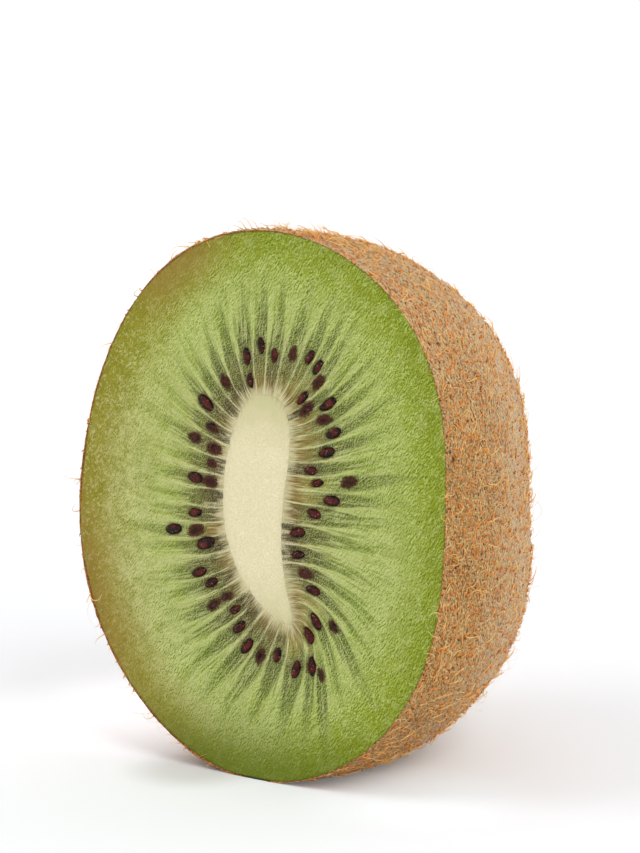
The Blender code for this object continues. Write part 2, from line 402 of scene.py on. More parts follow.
class Wiring:
    """A node tree that is being wired: node() makes a node, and field() returns its output as a Field."""

    def __init__(self, tree):
        self.tree = tree

    def socket(self, node, key):
        """The input with this identifier, or else with this name, its spaces as underscores."""
        for slot in node.inputs:
            if slot.identifier == key or (slot.enabled and slot.name.replace(" ", "_") == key):
                return slot
        raise KeyError(key)

    def node(self, kind, settings=None, **sockets):
        """A node of this type, with its settings made first and then its sockets set or linked."""
        node = self.tree.nodes.new(kind)
        for name, value in (settings or {}).items():
            if name == "stops":
                ramp = node.color_ramp
                for _ in value[2:]:
                    ramp.elements.new(1.0)
                for element, (place, colour) in zip(ramp.elements, value):
                    element.position = place
                    element.color = (*colour, 1.0)
            else:
                setattr(node, name, value)
        for key, value in sockets.items():
            self.plug(self.socket(node, key), value)
        return node

    def plug(self, socket, value):
        if isinstance(value, Field):
            value = value.socket
        if isinstance(value, bpy.types.NodeSocket):
            self.tree.links.new(value, socket)
        elif socket.type == "RGBA" and len(value) == 3:
            socket.default_value = (*value, 1.0)
        else:
            socket.default_value = value

    def field(self, kind, settings=None, output=0, **sockets):
        """The output, by its number or its identifier, of a new node."""
        node = self.node(kind, settings, **sockets)
        if isinstance(output, int):
            return Field(self, node.outputs[output])
        return Field(self, next(slot for slot in node.outputs if slot.identifier == output))


class Field:
    """A value, vector or colour that varies over a surface, with the arithmetic that adds Math nodes."""

    def __init__(self, wiring, socket):
        self.wiring = wiring
        self.socket = socket

    def maths(self, operation, first, second=0.0):
        return self.wiring.field("ShaderNodeMath", {"operation": operation}, Value=first, Value_001=second)

    def __add__(self, other):
        return self.maths("ADD", self, other)

    def __radd__(self, other):
        return self.maths("ADD", other, self)

    def __sub__(self, other):
        return self.maths("SUBTRACT", self, other)

    def __rsub__(self, other):
        return self.maths("SUBTRACT", other, self)

    def __mul__(self, other):
        return self.maths("MULTIPLY", self, other)

    def __rmul__(self, other):
        return self.maths("MULTIPLY", other, self)

    def __abs__(self):
        return self.maths("ABSOLUTE", self)

    def between(self, low, high):
        """0 below low, 1 above high and smooth between them."""
        smooth = {"interpolation_type": "SMOOTHSTEP"}
        return self.wiring.field("ShaderNodeMapRange", smooth, Value=self, From_Min=low, From_Max=high)

    def part(self, axis):
        return self.wiring.field("ShaderNodeSeparateXYZ", output=axis, Vector=self)

    def parts(self):
        return [self.part(axis) for axis in range(3)]

    def scaled(self, *factors):
        return self.vector_maths("MULTIPLY", factors)

    def moved(self, *amounts):
        return self.vector_maths("ADD", amounts)

    def vector_maths(self, operation, numbers, output=0):
        settings = {"operation": operation}
        return self.wiring.field("ShaderNodeVectorMath", settings, output, Vector=self, Vector_001=numbers)

    def turned(self, *angles):
        return self.wiring.field(
            "ShaderNodeMapping", {"vector_type": "POINT"}, Vector=self, Rotation=angles
        )

    def noise(self, scale=1.0, detail=2.0, roughness=0.5, distortion=0.0):
        """Smooth noise, 0 to 1, read at this vector."""
        settings = {"Scale": scale, "Detail": detail, "Roughness": roughness, "Distortion": distortion}
        return self.wiring.field("ShaderNodeTexNoise", Vector=self, **settings)

    def cell_edges(self, scale):
        """How far the nearest edge between scattered cells is."""
        return self.wiring.field(
            "ShaderNodeTexVoronoi", {"feature": "DISTANCE_TO_EDGE"}, Vector=self, Scale=scale
        )

    def toward(self, colour, share):
        """This colour, mixed with another by a share that may vary."""
        return self.wiring.field(
            "ShaderNodeMix",
            {"data_type": "RGBA", "clamp_factor": True},
            "Result_Color",
            Factor_Float=share,
            A_Color=self,
            B_Color=colour,
        )

    def layered(self, *layers):
        """This colour under further (colour, share) layers, the first of them lowest."""
        colour = self
        for paint, share in layers:
            colour = colour.toward(paint, share)
        return colour


class Finish(Wiring):
    """A material under construction, with the Principled shader that its fields feed."""

    def __init__(self, name):
        self.material = bpy.data.materials.new(name)
        self.material.use_nodes = True
        super().__init__(self.material.node_tree)
        self.shader = self.tree.nodes["Principled BSDF"]

    def attribute(self, name):
        return self.field("ShaderNodeAttribute", {"attribute_name": name}, "Vector")

    def millimetres(self):
        """The surface's place in millimetres."""
        return self.field("ShaderNodeTexCoord", output="Object").scaled(1000.0, 1000.0, 1000.0)

    def ramp(self, value, *stops):
        return self.field("ShaderNodeValToRGB", {"stops": stops}, Fac=value)

    def bump(self, height, distance, strength=1.0):
        return self.field("ShaderNodeBump", Height=height, Distance=distance, Strength=strength)

    def set(self, **sockets):
        for key, value in sockets.items():
            self.plug(self.socket(self.shader, key), value)
        return self.material


def flesh_finish(colours):
    """Wet green flesh: cream walls and dark pockets round the seeds, ridges and strokes outside them, painted
    highlights and painted shade on its wet grains and strokes, and painted shade round the clear seeds.
    """
    finish = Finish("wet_green_flesh")
    ray = finish.attribute("ray_space")
    place = finish.millimetres()
    x, _, z = place.parts()
    reach, aside, heart = finish.attribute("zone").parts()
    sunk, bruise, shade = finish.attribute("stain").parts()

    # Noise along the rays, over the face and in slanted strokes, with its lit and shaded slopes, which are
    # painted as highlight and shade
    broad = ray.scaled(0.45, 0.45, 0.12).noise()
    fibre = ray.scaled(1.9, 1.9, 0.2).noise(detail=3.0, roughness=0.55)
    fine_fibre = ray.scaled(5.5, 5.5, 0.6).noise()
    fringe = ray.scaled(1.2, 1.2, 0.15).noise(detail=3.0, roughness=0.6)
    thread = ray.scaled(2.8, 2.8, 0.25).noise(distortion=0.3)
    speckle = place.noise(2.6, detail=3.0, roughness=0.65)
    blotch = place.noise(0.3, detail=3.0)
    slanted = place.turned(0.0, math.radians(-26.0), 0.0).scaled(5.7, 1.0, 2.3)
    strokes = slanted.noise(distortion=0.8)
    slope = strokes - slanted.moved(0.45, 0.0, -0.12).noise(distortion=0.8)
    grain = place.noise(6.0)
    grain_slope = grain - place.moved(0.07, 0.0, -0.05).noise(6.0)
    lit, unlit = slope.between(0.02, 0.08), slope.between(-0.015, -0.1)
    lit_grain, unlit_grain = grain_slope.between(0.02, 0.1), grain_slope.between(-0.02, -0.1)
    flecked = 0.5 + place.noise(0.9).between(0.35, 0.65) * 0.7

    # Parts of the face, in millimetres across and up and in shares of the way out to the skin
    left = x.between(-6.0, -24.0)
    beside = x.between(-6.0, -11.0)
    low = z.between(20.0, 8.0)
    low_left = (x * 0.8 + (z - 28.0) * 0.5).between(-4.0, -14.0)
    pale_band = low_left * reach.between(0.4, 0.55) * (1.0 - reach.between(0.76, 0.92) * 0.8)
    rim_band = left * reach.between(0.64, 0.84) * (1.0 - low_left * 0.4)
    pale_right = x.between(5.0, 12.0) * x.between(24.0, 15.0) * z.between(15.0, 21.0) * z.between(34.0, 26.0)
    cloudy = place.moved(9.0, 0.0, 3.0).noise(0.14).between(0.42, 0.62)
    cloudy = cloudy * reach.between(0.2, 0.4) * (1.0 - reach.between(0.6, 0.85))
    ray_zone = reach.between(0.0, 0.12) * (1.0 - reach.between(0.45, 0.82))
    inner = (1.0 - reach.between(0.15, 0.6)) * reach.between(-0.04, 0.04)
    middle = reach.between(0.2, 0.35) * (1.0 - reach.between(0.55, 0.8))
    outer = 0.35 + reach.between(0.25, 0.8) * 0.65
    open_flesh = outer * reach.between(0.04, 0.2)

    # Seed pockets, the walls between them, and the lanes and ridges beyond them
    lane = aside + (fibre - 0.5) * 0.6 + (grain - 0.5) * 0.3
    beyond = reach - heart + (speckle - 0.5) * 0.06
    ridge = lane.between(0.35, 0.9) * ray_zone * reach.between(0.05, 0.25)
    green_lane = (0.95 - beyond * 1.1 - lane).between(0.0, 0.5) * beyond.between(-0.06, 0.06) * ray_zone
    taper = 1.9 + beside * 2.0
    wedge = (0.9 - aside - (fibre - 0.5) * 0.45 - beyond * taper).between(-0.1, 0.2)
    wedge = wedge * (beyond - (beside + x.between(3.0, 6.0)) * 0.09).between(-0.3, -0.12)
    cloud = place.moved(20.0, 0.0, 0.0).noise(1.3).between(0.3, 0.6)
    dark = wedge * (1.0 - beyond.between(0.08, 0.3) * 0.7) * (1.0 - beside * 0.5) * (0.65 + cloud * 0.35)
    wall = (aside + (fine_fibre - 0.5) * 0.35).between(0.8, 0.98) * (1.0 - reach.between(0.14, 0.48))
    cream = (0.05 - reach + (fringe - 0.5) * 0.45).between(0.0, 0.1)
    buried = sunk + (fine_fibre - 0.5) * 0.5 + (grain - 0.5) * 0.5

    # Patches of the open flesh; curls, specks and stroke crests, which are painted highlights of its wet
    # grains; and the painted shade and highlight colours
    ochre = place.moved(40.0, 0.0, 0.0).noise(3.2).between(0.5, 0.66)
    mottle = place.moved(0.0, 0.0, 30.0).noise(0.6, detail=4.0, roughness=0.65)
    contour = place.scaled(1.0, 1.0, 0.8).noise(2.3, detail=1.0, distortion=0.5)
    curled = place.moved(0.0, 0.0, 60.0).noise(2.0, detail=1.0).between(0.47, 0.54)
    curl = abs(contour - 0.5).between(0.07, 0.02) * curled
    speck = place.moved(0.0, 0.0, 90.0).noise(3.4, detail=1.0).between(0.61, 0.68)
    crest = strokes.between(0.52, 0.62) * flecked
    # Painted shade and painted highlight colours of the grains, duller and yellower towards the left
    shadow = finish.ramp(left, (0.0, tone(86, 108, 0)), (1.0, tone(124, 124, 0)))
    highlight = finish.ramp(left, (0.0, colours.painted_glint), (1.0, tone(208, 206, 132)))
    highlight = highlight.toward(tone(170, 186, 50), reach.between(0.7, 0.97) * 0.75 + rim_band * 0.5)

    edge_threads = (fringe - 0.5) * (1.0 - reach.between(0.0, 0.3)) * 0.35
    uneven = (broad - 0.5) * 0.2 + (fibre - 0.5) * 0.1 + (blotch - 0.5) * 0.2 + edge_threads
    colour = finish.ramp(
        reach * 0.9 + 0.1 + uneven,
        (0.0, colours.core),
        (0.09, colours.core_end),
        (0.17, colours.flesh_inner),
        (0.32, colours.flesh_inner),
        (0.46, colours.flesh_middle),
        (0.66, colours.flesh_middle),
        (0.82, colours.flesh_outer),
        (0.98, colours.flesh_rim),
    ).layered(
        (colours.warm_left, left * (blotch + 0.1) * 0.8),
        (tone(232, 226, 170), pale_band * (fibre + 0.4) * (blotch * 0.7 + 0.4)),
        (tone(134, 134, 0), rim_band * (0.55 + blotch * 0.6)),
        (tone(218, 222, 158), pale_right * (0.25 + fibre * 0.5)),
        (tone(206, 212, 134), cloudy * 0.5),
        (colours.ridge, ridge * (0.5 + fibre * 0.9)),
        (colours.lane, green_lane * (0.5 + speckle * 0.6) * (1.0 - beside * 0.4 + low * 0.3)),
        (colours.pocket, dark * (0.5 + speckle * 0.8)),
        (colours.septum, wall * 0.85),
        (colours.septum, fine_fibre.between(0.55, 0.66) * inner * 0.6),
        (tone(88, 70, 34), fine_fibre.between(0.47, 0.35) * inner * 0.7),
        (colours.ridge, thread.between(0.52, 0.6) * middle * 0.85),
        (colours.lane, thread.between(0.47, 0.37) * middle * (0.65 - beside * 0.3)),
        (tone(222, 211, 168), cream * 0.85),
        (tone(150, 146, 36), ochre * open_flesh * 0.4),
        # Painted highlights on the stroke crests and lit slopes, painted shade on the unlit slopes
        (highlight, crest * open_flesh * (0.3 - left * 0.15)),
        (shadow, unlit * open_flesh * flecked * 0.9),
        (shadow, unlit_grain * open_flesh * 0.45),
        (highlight, lit * open_flesh * flecked * (1.0 - left * 0.3)),
        (highlight, lit_grain * open_flesh * 0.45),
        (tone(128, 138, 0), mottle.between(0.56, 0.36) * open_flesh * (0.22 + left * 0.4)),
        (tone(210, 214, 144), mottle.between(0.48, 0.68) * open_flesh * 0.2 * (1.0 - rim_band)),
        # Painted highlights: pale curls and specks of the wet grains
        (tone(214, 214, 146), curl * open_flesh * (0.12 + left * 0.68)),
        (tone(212, 222, 140), speck * open_flesh * (0.55 - rim_band * 0.3 - reach.between(0.8, 1.0) * 0.2)),
        # Painted highlights and painted shade of the grains inside the dark pockets
        (tone(178, 184, 140), lit_grain.between(0.3, 0.9) * dark * 0.3),
        (tone(44, 40, 20), unlit_grain * dark * 0.6),
        (colours.bruise, bruise * (0.3 + speckle * 0.7)),
        (colours.seed_film, buried.between(0.44, 0.5) * 0.7),
        (colours.seed_dark, buried.between(0.52, 0.6) * 0.85),
        (tone(110, 48, 38), (buried - lit_grain * 0.2).between(0.68, 0.62) * buried.between(0.6, 0.66)),
        # Painted shade in a thin ring round each clear seed
        (colours.pocket, shade * 0.3),
        # Darker towards the bottom of the face
        (tone(96, 112, 20), z.between(9.0, 0.0) * 0.7),
    )
    height = strokes * outer + grain * 0.8 + fine_fibre * 0.5 * (1.0 - outer) + speckle * 0.4
    return finish.set(
        Base_Color=colour,
        Roughness=0.34 + speckle * 0.25,
        Normal=finish.bump(height, 0.00025),
        Subsurface_Weight=0.15,
        Subsurface_Scale=0.0008,
        Subsurface_Radius=(0.8, 1.0, 0.35),
        Specular_IOR_Level=0.1,
    )


def core_finish(colours):
    """Cream pulp with a fine even grain, greener at its two ends and edges."""
    finish = Finish("pale_core")
    place = finish.millimetres()
    inside, ends, _ = finish.attribute("zone").parts()
    grain = place.noise(3.6, detail=3.0, roughness=0.6)
    mottle = place.noise(0.5)
    speck = place.noise(5.6)
    fringe = finish.attribute("ray_space").scaled(1.2, 1.2, 0.15).noise(detail=3.0, roughness=0.6)
    notch = (inside - (fringe - 0.5) * 0.4).between(0.94, 1.06)
    colour = finish.ramp(grain, (0.3, colours.core), (0.72, tone(220, 209, 168))).layered(
        (tone(246, 240, 216), speck.between(0.55, 0.68) * 0.45),
        (tone(206, 194, 146), speck.between(0.45, 0.32) * 0.45),
        (colours.core_end, (ends + (mottle - 0.5) * 0.3).between(0.4, 1.0) * 0.9),
        (colours.core_end, inside.between(0.7, 1.0) * 0.2),
        (colours.flesh_inner, notch * 0.5),
    )
    return finish.set(
        Base_Color=colour,
        Roughness=0.45,
        Normal=finish.bump(grain, 0.0001, 0.35),
        Subsurface_Weight=0.2,
        Subsurface_Scale=0.001,
        Subsurface_Radius=(1.0, 0.9, 0.6),
        Specular_IOR_Level=0.4,
    )


def seed_finish(colours):
    """Glossy maroon seeds with a pitted coat and painted glints, darker at their edges and filmed over where
    they sink.
    """
    finish = Finish("glossy_seeds")
    own = finish.attribute("seed_space")
    rim, film, _ = finish.attribute("film").parts()
    blotch = own.noise(1.3, detail=3.0)
    flake_and_glint = own.moved(3.0, 0.0, 0.0).noise(3.2)
    colour = finish.ramp(
        blotch, (0.38, colours.seed_dark), (0.5, colours.seed), (0.64, tone(112, 34, 28))
    ).layered(
        # Painted glints: small pale flakes on the seeds
        (tone(196, 128, 104), flake_and_glint.between(0.62, 0.67) * 0.6),
        (colours.seed_dark, (rim + (blotch - 0.5) * 0.5).between(0.4, 1.0) * 0.65),
        (colours.seed_film, (film + (blotch - 0.5) * 1.2).between(0.3, 0.9) * 0.85),
    )
    return finish.set(
        Base_Color=colour,
        Roughness=0.2,
        Normal=finish.bump(own.cell_edges(5.5).between(0.0, 0.25) + flake_and_glint, 0.00016, 0.9),
        Specular_IOR_Level=0.25,
    )


def skin_finish(colours):
    """Thin leathery skin: olive tan, with orange spots strung round the girth and a painted shadow beside
    each spot, painted light towards the top, painted shade towards the bottom, and a painted sheen away from
    the cut.
    """
    finish = Finish("brown_skin")
    hide = finish.attribute("hide_space")
    place = finish.millimetres()
    z = place.part(2)
    outside = finish.attribute("outside").part(0)
    edge = 1.0 - outside.between(0.2, 0.9)
    # Share of the way away from the cut: there the skin takes a painted sheen and has fewer spots and dark
    # specks
    far = hide.part(2).between(5.0, 21.0)
    near = outside * (1.0 - far * 0.5)
    along = hide.scaled(0.75, 0.75, 1.2)
    spot = along.noise(2.6, detail=1.0)
    # The spot noise shifted a little: a dent in the bump and a painted shadow beside each spot
    dent_and_shadow = along.moved(0.12, 0.1, 0.1).noise(2.6, detail=1.0)
    pore = place.noise(1.7, detail=3.0, roughness=0.7)
    fine = place.noise(4.6, detail=3.0, roughness=0.65)
    patch = place.noise(0.22, detail=3.0)
    colour = finish.ramp(patch, (0.3, tone(156, 120, 64)), (0.5, colours.skin), (0.7, tone(190, 154, 96)))
    colour = colour.layered(
        # Painted light towards the top of the skin and painted shade towards the bottom
        (tone(236, 204, 160), z.between(32.0, 54.0) * 0.55),
        (tone(112, 80, 42), z.between(16.0, 2.0) * 0.4),
        # Painted sheen away from the cut
        (tone(224, 198, 166), far * 0.65),
        (colours.skin_pale, fine.between(0.5, 0.64) * 0.7),
        (tone(108, 82, 32), fine.between(0.48, 0.36) * (0.9 - far * 0.4)),
        (tone(104, 70, 30), pore.between(0.58, 0.7) * outside * 0.6),
        (colours.skin_warm, spot.between(0.58, 0.64) * near * 0.9),
        # Painted shadow beside each orange spot
        (colours.spot_shadow, dent_and_shadow.between(0.57, 0.63) * (1.0 - spot.between(0.56, 0.6)) * near),
        (finish.ramp(fine, (0.42, tone(104, 60, 28)), (0.6, tone(204, 128, 62))), edge),
    )
    return finish.set(
        Base_Color=colour,
        Roughness=0.8,
        Normal=finish.bump(fine * 0.9 + spot * 0.8 - dent_and_shadow * 0.5, 0.0003, 0.9),
        Specular_IOR_Level=0.1,
        Sheen_Weight=0.08,
    )


def hair_finish(name, root, body, tip):
    """Stiff hairs, dark at the root and pale at the tip, each with a tint of its own."""
    finish = Finish(name)
    along = finish.attribute("along").part(0)
    tint = finish.attribute("tint").part(0)
    colour = finish.ramp(along, (0.0, root), (0.25, body), (1.0, tip)).layered(
        (root, tint.between(0.6, 1.0) * 0.5),
        (tip, tint.between(0.4, 0.0) * 0.5),
    )
    return finish.set(Base_Color=colour, Roughness=0.55, Specular_IOR_Level=0.2)


def pocket_marks(turn):
    """(aside, heart): the way from the middle of a seed chamber, 0, to its wall, 1, and its seeds' reach."""
    middles = chamber_turns()
    count = len(middles)
    wrapped = np.concatenate((middles - math.tau, middles, middles + math.tau))
    chamber = np.interp(turn % math.tau, wrapped, np.arange(3 * count))
    nearest = np.rint(chamber)
    hearts = np.random.default_rng(5).uniform(0.14, 0.26, count)
    for number, marks in enumerate(zip(FIRST_SEEDS, SECOND_SEEDS)):
        rows = [row for row, _ in seed_rows(marks)]
        if rows:
            hearts[number] = SEED_ROW_REACH * max(rows) + 0.04
    return 2.0 * np.abs(chamber - nearest), hearts[nearest.astype(int) % count]


def seed_marks(across, up, shape, lie):
    """(clear, sunk) nearness to seeds of each kind: 1 in the middle of a seed, 0 a seed away."""
    clear = np.zeros(across.shape)
    sunk = np.zeros(across.shape)
    for seed in lie:
        tilt_sin, tilt_cos = math.sin(seed["tilt"]), math.cos(seed["tilt"])
        right, above = across - seed["across"], up - seed["up"]
        long_half = seed["size"] * shape.seed_length / MM / 2.0
        wide_half = seed["size"] * shape.seed_width / MM / 2.0
        out = (right * tilt_cos + above * tilt_sin) / long_half
        side = (above * tilt_cos - right * tilt_sin) / wide_half
        kind = sunk if seed["sunk"] else clear
        np.maximum(kind, np.clip(2.0 - np.hypot(out, side), 0.0, 2.0) / 2.0, out=kind)
    return clear, sunk


def bruise_marks(clock, reach):
    """The brownish tint at the left rim, strongest at eleven and at eight o'clock."""
    left = np.zeros(np.broadcast(clock, reach).shape)
    spots = ((119.0, 13.0, 1.1), (213.0, 24.0, 1.1), (165.0, 40.0, 0.5), (250.0, 16.0, 0.5))
    for middle, spread, strength in spots:
        aside = (np.degrees(clock) - middle + 180.0) % 360.0 - 180.0
        left = left + strength * np.exp(-((aside / spread) ** 2))
    return np.clip(left, 0.0, 1.0) * smooth_step(reach, 0.6, 1.0)


class KIWI_OT_flesh(bpy.types.Operator):
    """Builds the green flesh, with the relief of its pockets, walls, grains and seed beds"""

    bl_idname = "kiwi.flesh"
    bl_label = "Flesh"

    def execute(self, context):
        shape = context.scene.kiwi_shape
        thickness = shape.skin_thickness / MM
        grain_height, pocket_depth = shape.grain_height / MM, shape.pocket_depth / MM
        turn = np.arange(FLESH_TURNS) * math.tau / FLESH_TURNS
        clock = clock_of(turn)
        reach = np.linspace(FLESH_OVERLAP, 1.0, FLESH_RINGS)[:, None] * np.ones(FLESH_TURNS)
        rays = turn * np.ones((FLESH_RINGS, 1))
        across, up = ray_points(rays, reach, thickness - 0.03)
        aside, heart = pocket_marks(rays)
        clear, sunk = seed_marks(across, up, shape, seeds())
        along_ray = reach * RAY_LENGTH

        off_core = smooth_step(reach, 0.0, 0.04)
        pocket = smooth_step(1.0 - 2.2 * np.abs(reach - heart) - aside, -0.15, 0.35)
        pocket = pocket * smooth_step(reach, 0.0, 0.08)
        septum = smooth_step(aside, 0.6, 1.0) * (1.0 - smooth_step(reach, 0.3, 0.62)) * off_core
        streaks = lumps(np.cos(rays) * 30.0, np.sin(rays) * 30.0, along_ray * 0.15, 1.0, 3)
        grain = lumps(across, up, 0.0, 0.5, 1) + 0.6 * lumps(across, up, 0.0, 0.28, 2)
        waves = lumps(across, up, 0.0, 7.0, 4) + 0.3 * lumps(across, up, 0.0, 2.2, 5)
        streaky = smooth_step(reach, 0.02, 0.15) * (1.0 - smooth_step(reach, 0.6, 0.9))
        height = 0.12 * waves + 0.05 * streaks * streaky
        height += grain_height * grain * (0.35 + 0.65 * smooth_step(reach, 0.4, 0.8) + 0.6 * pocket)
        height += 0.06 * septum - pocket_depth * pocket
        height += 0.1 * smooth_step(clear, 0.35, 0.48) - 0.5 * smooth_step(clear, 0.5, 0.62)
        height += (pocket_depth * 0.8 * pocket - 0.02 + 0.14 * grain) * smooth_step(sunk, 0.3, 0.6)
        height *= 0.1 + 0.9 * off_core
        height += 0.05 - 0.3 * smooth_step(reach, 0.0, FLESH_OVERLAP) - 0.1 * smooth_step(reach, 0.98, 1.0)

        pocket_rises = np.linspace(math.radians(80.0), math.radians(6.0), 7)[:, None]
        inner = packed(*core_surface(turn, pocket_rises, 0.05))
        outer = packed(*dome(clock, even_rises(16)[1:-1, None], thickness + 0.1))
        rows = to_world(np.concatenate((inner, packed(across, up, -height), outer)))
        rows[..., 2] = np.maximum(rows[..., 2], 0.1 * MM)

        def padded(values, before=0.0, after=0.0):
            """The front's values, with one value for the pocket before it and one for the shell after it."""
            rings = ((len(inner), len(outer)), (0, 0))
            return np.pad(values, rings, constant_values=((before, after), (0.0, 0.0)))

        bruise = bruise_marks(clock, reach)
        # Painted shade in a thin ring just outside each clear seed
        shade = smooth_step(clear, 0.36, 0.5)
        attributes = {
            "zone": packed(padded(reach, FLESH_OVERLAP, 1.0), padded(aside), padded(heart, 0.3, 0.3)),
            # Sunk seeds, the bruise tint, and the painted shade round the clear seeds
            "stain": packed(padded(sunk), padded(bruise), padded(shade)),
            "ray_space": packed(
                padded(np.cos(rays) * RAY_GIRTH),
                padded(np.sin(rays) * RAY_GIRTH),
                padded(along_ray, 0.0, RAY_LENGTH),
            ),
        }
        first = along_face(*core_surface(0.0, math.pi / 2.0, 0.05))
        last = along_face(0.0, 0.0, HALF_DEPTH - DIMPLE_DEPTH - thickness - 0.1)
        mesh = grid_mesh("flesh", rows, first, last, attributes)
        show("flesh", mesh, flesh_finish(context.scene.kiwi_colours), "flesh", "fruit_body")
        return {"FINISHED"}


class KIWI_OT_core(bpy.types.Operator):
    """Builds the pale core as a spindle with a finely grained front"""

    bl_idname = "kiwi.core"
    bl_label = "Core"

    def execute(self, context):
        turn = np.arange(CORE_TURNS) * math.tau / CORE_TURNS
        share = np.linspace(0.04, 1.0, CORE_RINGS)[:, None] * np.ones(CORE_TURNS)
        across, up = core_section(turn, share)
        grain = lumps(across, up, 0.0, 0.4, 7) + 0.5 * lumps(across, up, 0.0, 0.22, 8)
        height = 0.025 * grain + 0.04 * lumps(across, up, 0.0, 2.5, 9) + 0.12 * (1.0 - share**2)
        rises = np.linspace(math.radians(4.0), math.radians(84.0), 12)[:, None]
        places = np.concatenate((packed(across, up, -height), packed(*core_surface(turn, rises))))
        inside = np.concatenate((share, np.ones((len(rises), CORE_TURNS))))
        ends = np.maximum(places[..., 1], -0.75 * places[..., 1]) / CORE_HALF_HEIGHT
        attributes = {
            "zone": packed(inside, ends, 0.0),
            "ray_space": packed(np.cos(turn) * RAY_GIRTH, np.sin(turn) * RAY_GIRTH, (inside - 1.0) * 4.0),
        }
        first = along_face(*core_section(0.0, 0.0), -0.12)
        last = along_face(*core_surface(0.0, math.pi / 2.0))
        mesh = grid_mesh("core_pulp", to_world(places), first, last, attributes)
        show("core_pulp", mesh, core_finish(context.scene.kiwi_colours), "core", "core")
        return {"FINISHED"}


def ball_grid(sides, rings):
    """(around, rise) of the rings of a ball, without its two poles."""
    around = (np.arange(sides) * math.tau / sides)[None, :]
    return around, np.linspace(-math.pi / 2.0, math.pi / 2.0, rings + 2)[1:-1, None]


def joined(name, meshes):
    """One mesh that holds all of these."""
    copies = [bpy.data.objects.new(mesh.name, mesh) for mesh in meshes]
    for copy in copies:
        bpy.context.scene.collection.objects.link(copy)
    with bpy.context.temp_override(
        active_object=copies[0], object=copies[0], selected_objects=copies, selected_editable_objects=copies
    ):
        bpy.ops.object.join()
    mesh = copies[0].data
    mesh.name = name
    bpy.data.objects.remove(copies[0])
    return mesh


class KIWI_OT_seeds(bpy.types.Operator):
    """Builds the seeds as flat glossy teardrops that lie along their rays"""

    bl_idname = "kiwi.seeds"
    bl_label = "Seeds"

    def execute(self, context):
        shape = context.scene.kiwi_shape
        seed_length, seed_width = shape.seed_length / MM, shape.seed_width / MM
        around, rise = ball_grid(22, 15)
        along = np.sin(rise) + 0.0 * around
        fullness = 1.0 - SEED_POINT * (1.0 - along) / 2.0
        draw = np.random.default_rng(23)
        meshes = []
        for number, seed in enumerate(seeds()):
            plump = draw.uniform(0.8, 1.05)
            film = 0.6 if seed["sunk"] else draw.uniform(0.0, 0.25)
            long_half, wide_half = seed["size"] * seed_length / 2.0, seed["size"] * plump * seed_width / 2.0
            bed = SEED_THICKNESS / 2.0 - (SUNK_PROUD if seed["sunk"] else PROUD)
            out = long_half * along
            side = wide_half * np.cos(rise) * np.cos(around) * fullness
            lift = SEED_THICKNESS / 2.0 * np.cos(rise) * np.sin(around) * fullness
            dents = 1.0 + 0.07 * lumps(out + 5.0 * number, side, lift, 0.8, 12)
            out, side, lift = out * dents, side * dents, lift * dents
            rows = along_face(*beside_seed(seed, out, side), bed + lift)
            poles = [along_face(*beside_seed(seed, end * long_half, 0.0), bed) for end in (-1.0, 1.0)]
            rim = np.clip(np.hypot(side / seed_width, out / seed_length) * 2.0, 0.0, 1.0) ** 2
            own_space = packed(out + 7.0 * number, side, lift)
            attributes = {"seed_space": own_space, "film": packed(rim, film, 0.0)}
            meshes.append(grid_mesh(f"seed_{number}", rows, *poles, attributes))
        mesh = joined("seeds", meshes)
        show("seeds", mesh, seed_finish(context.scene.kiwi_colours), "seeds", "fruit_body")
        return {"FINISHED"}


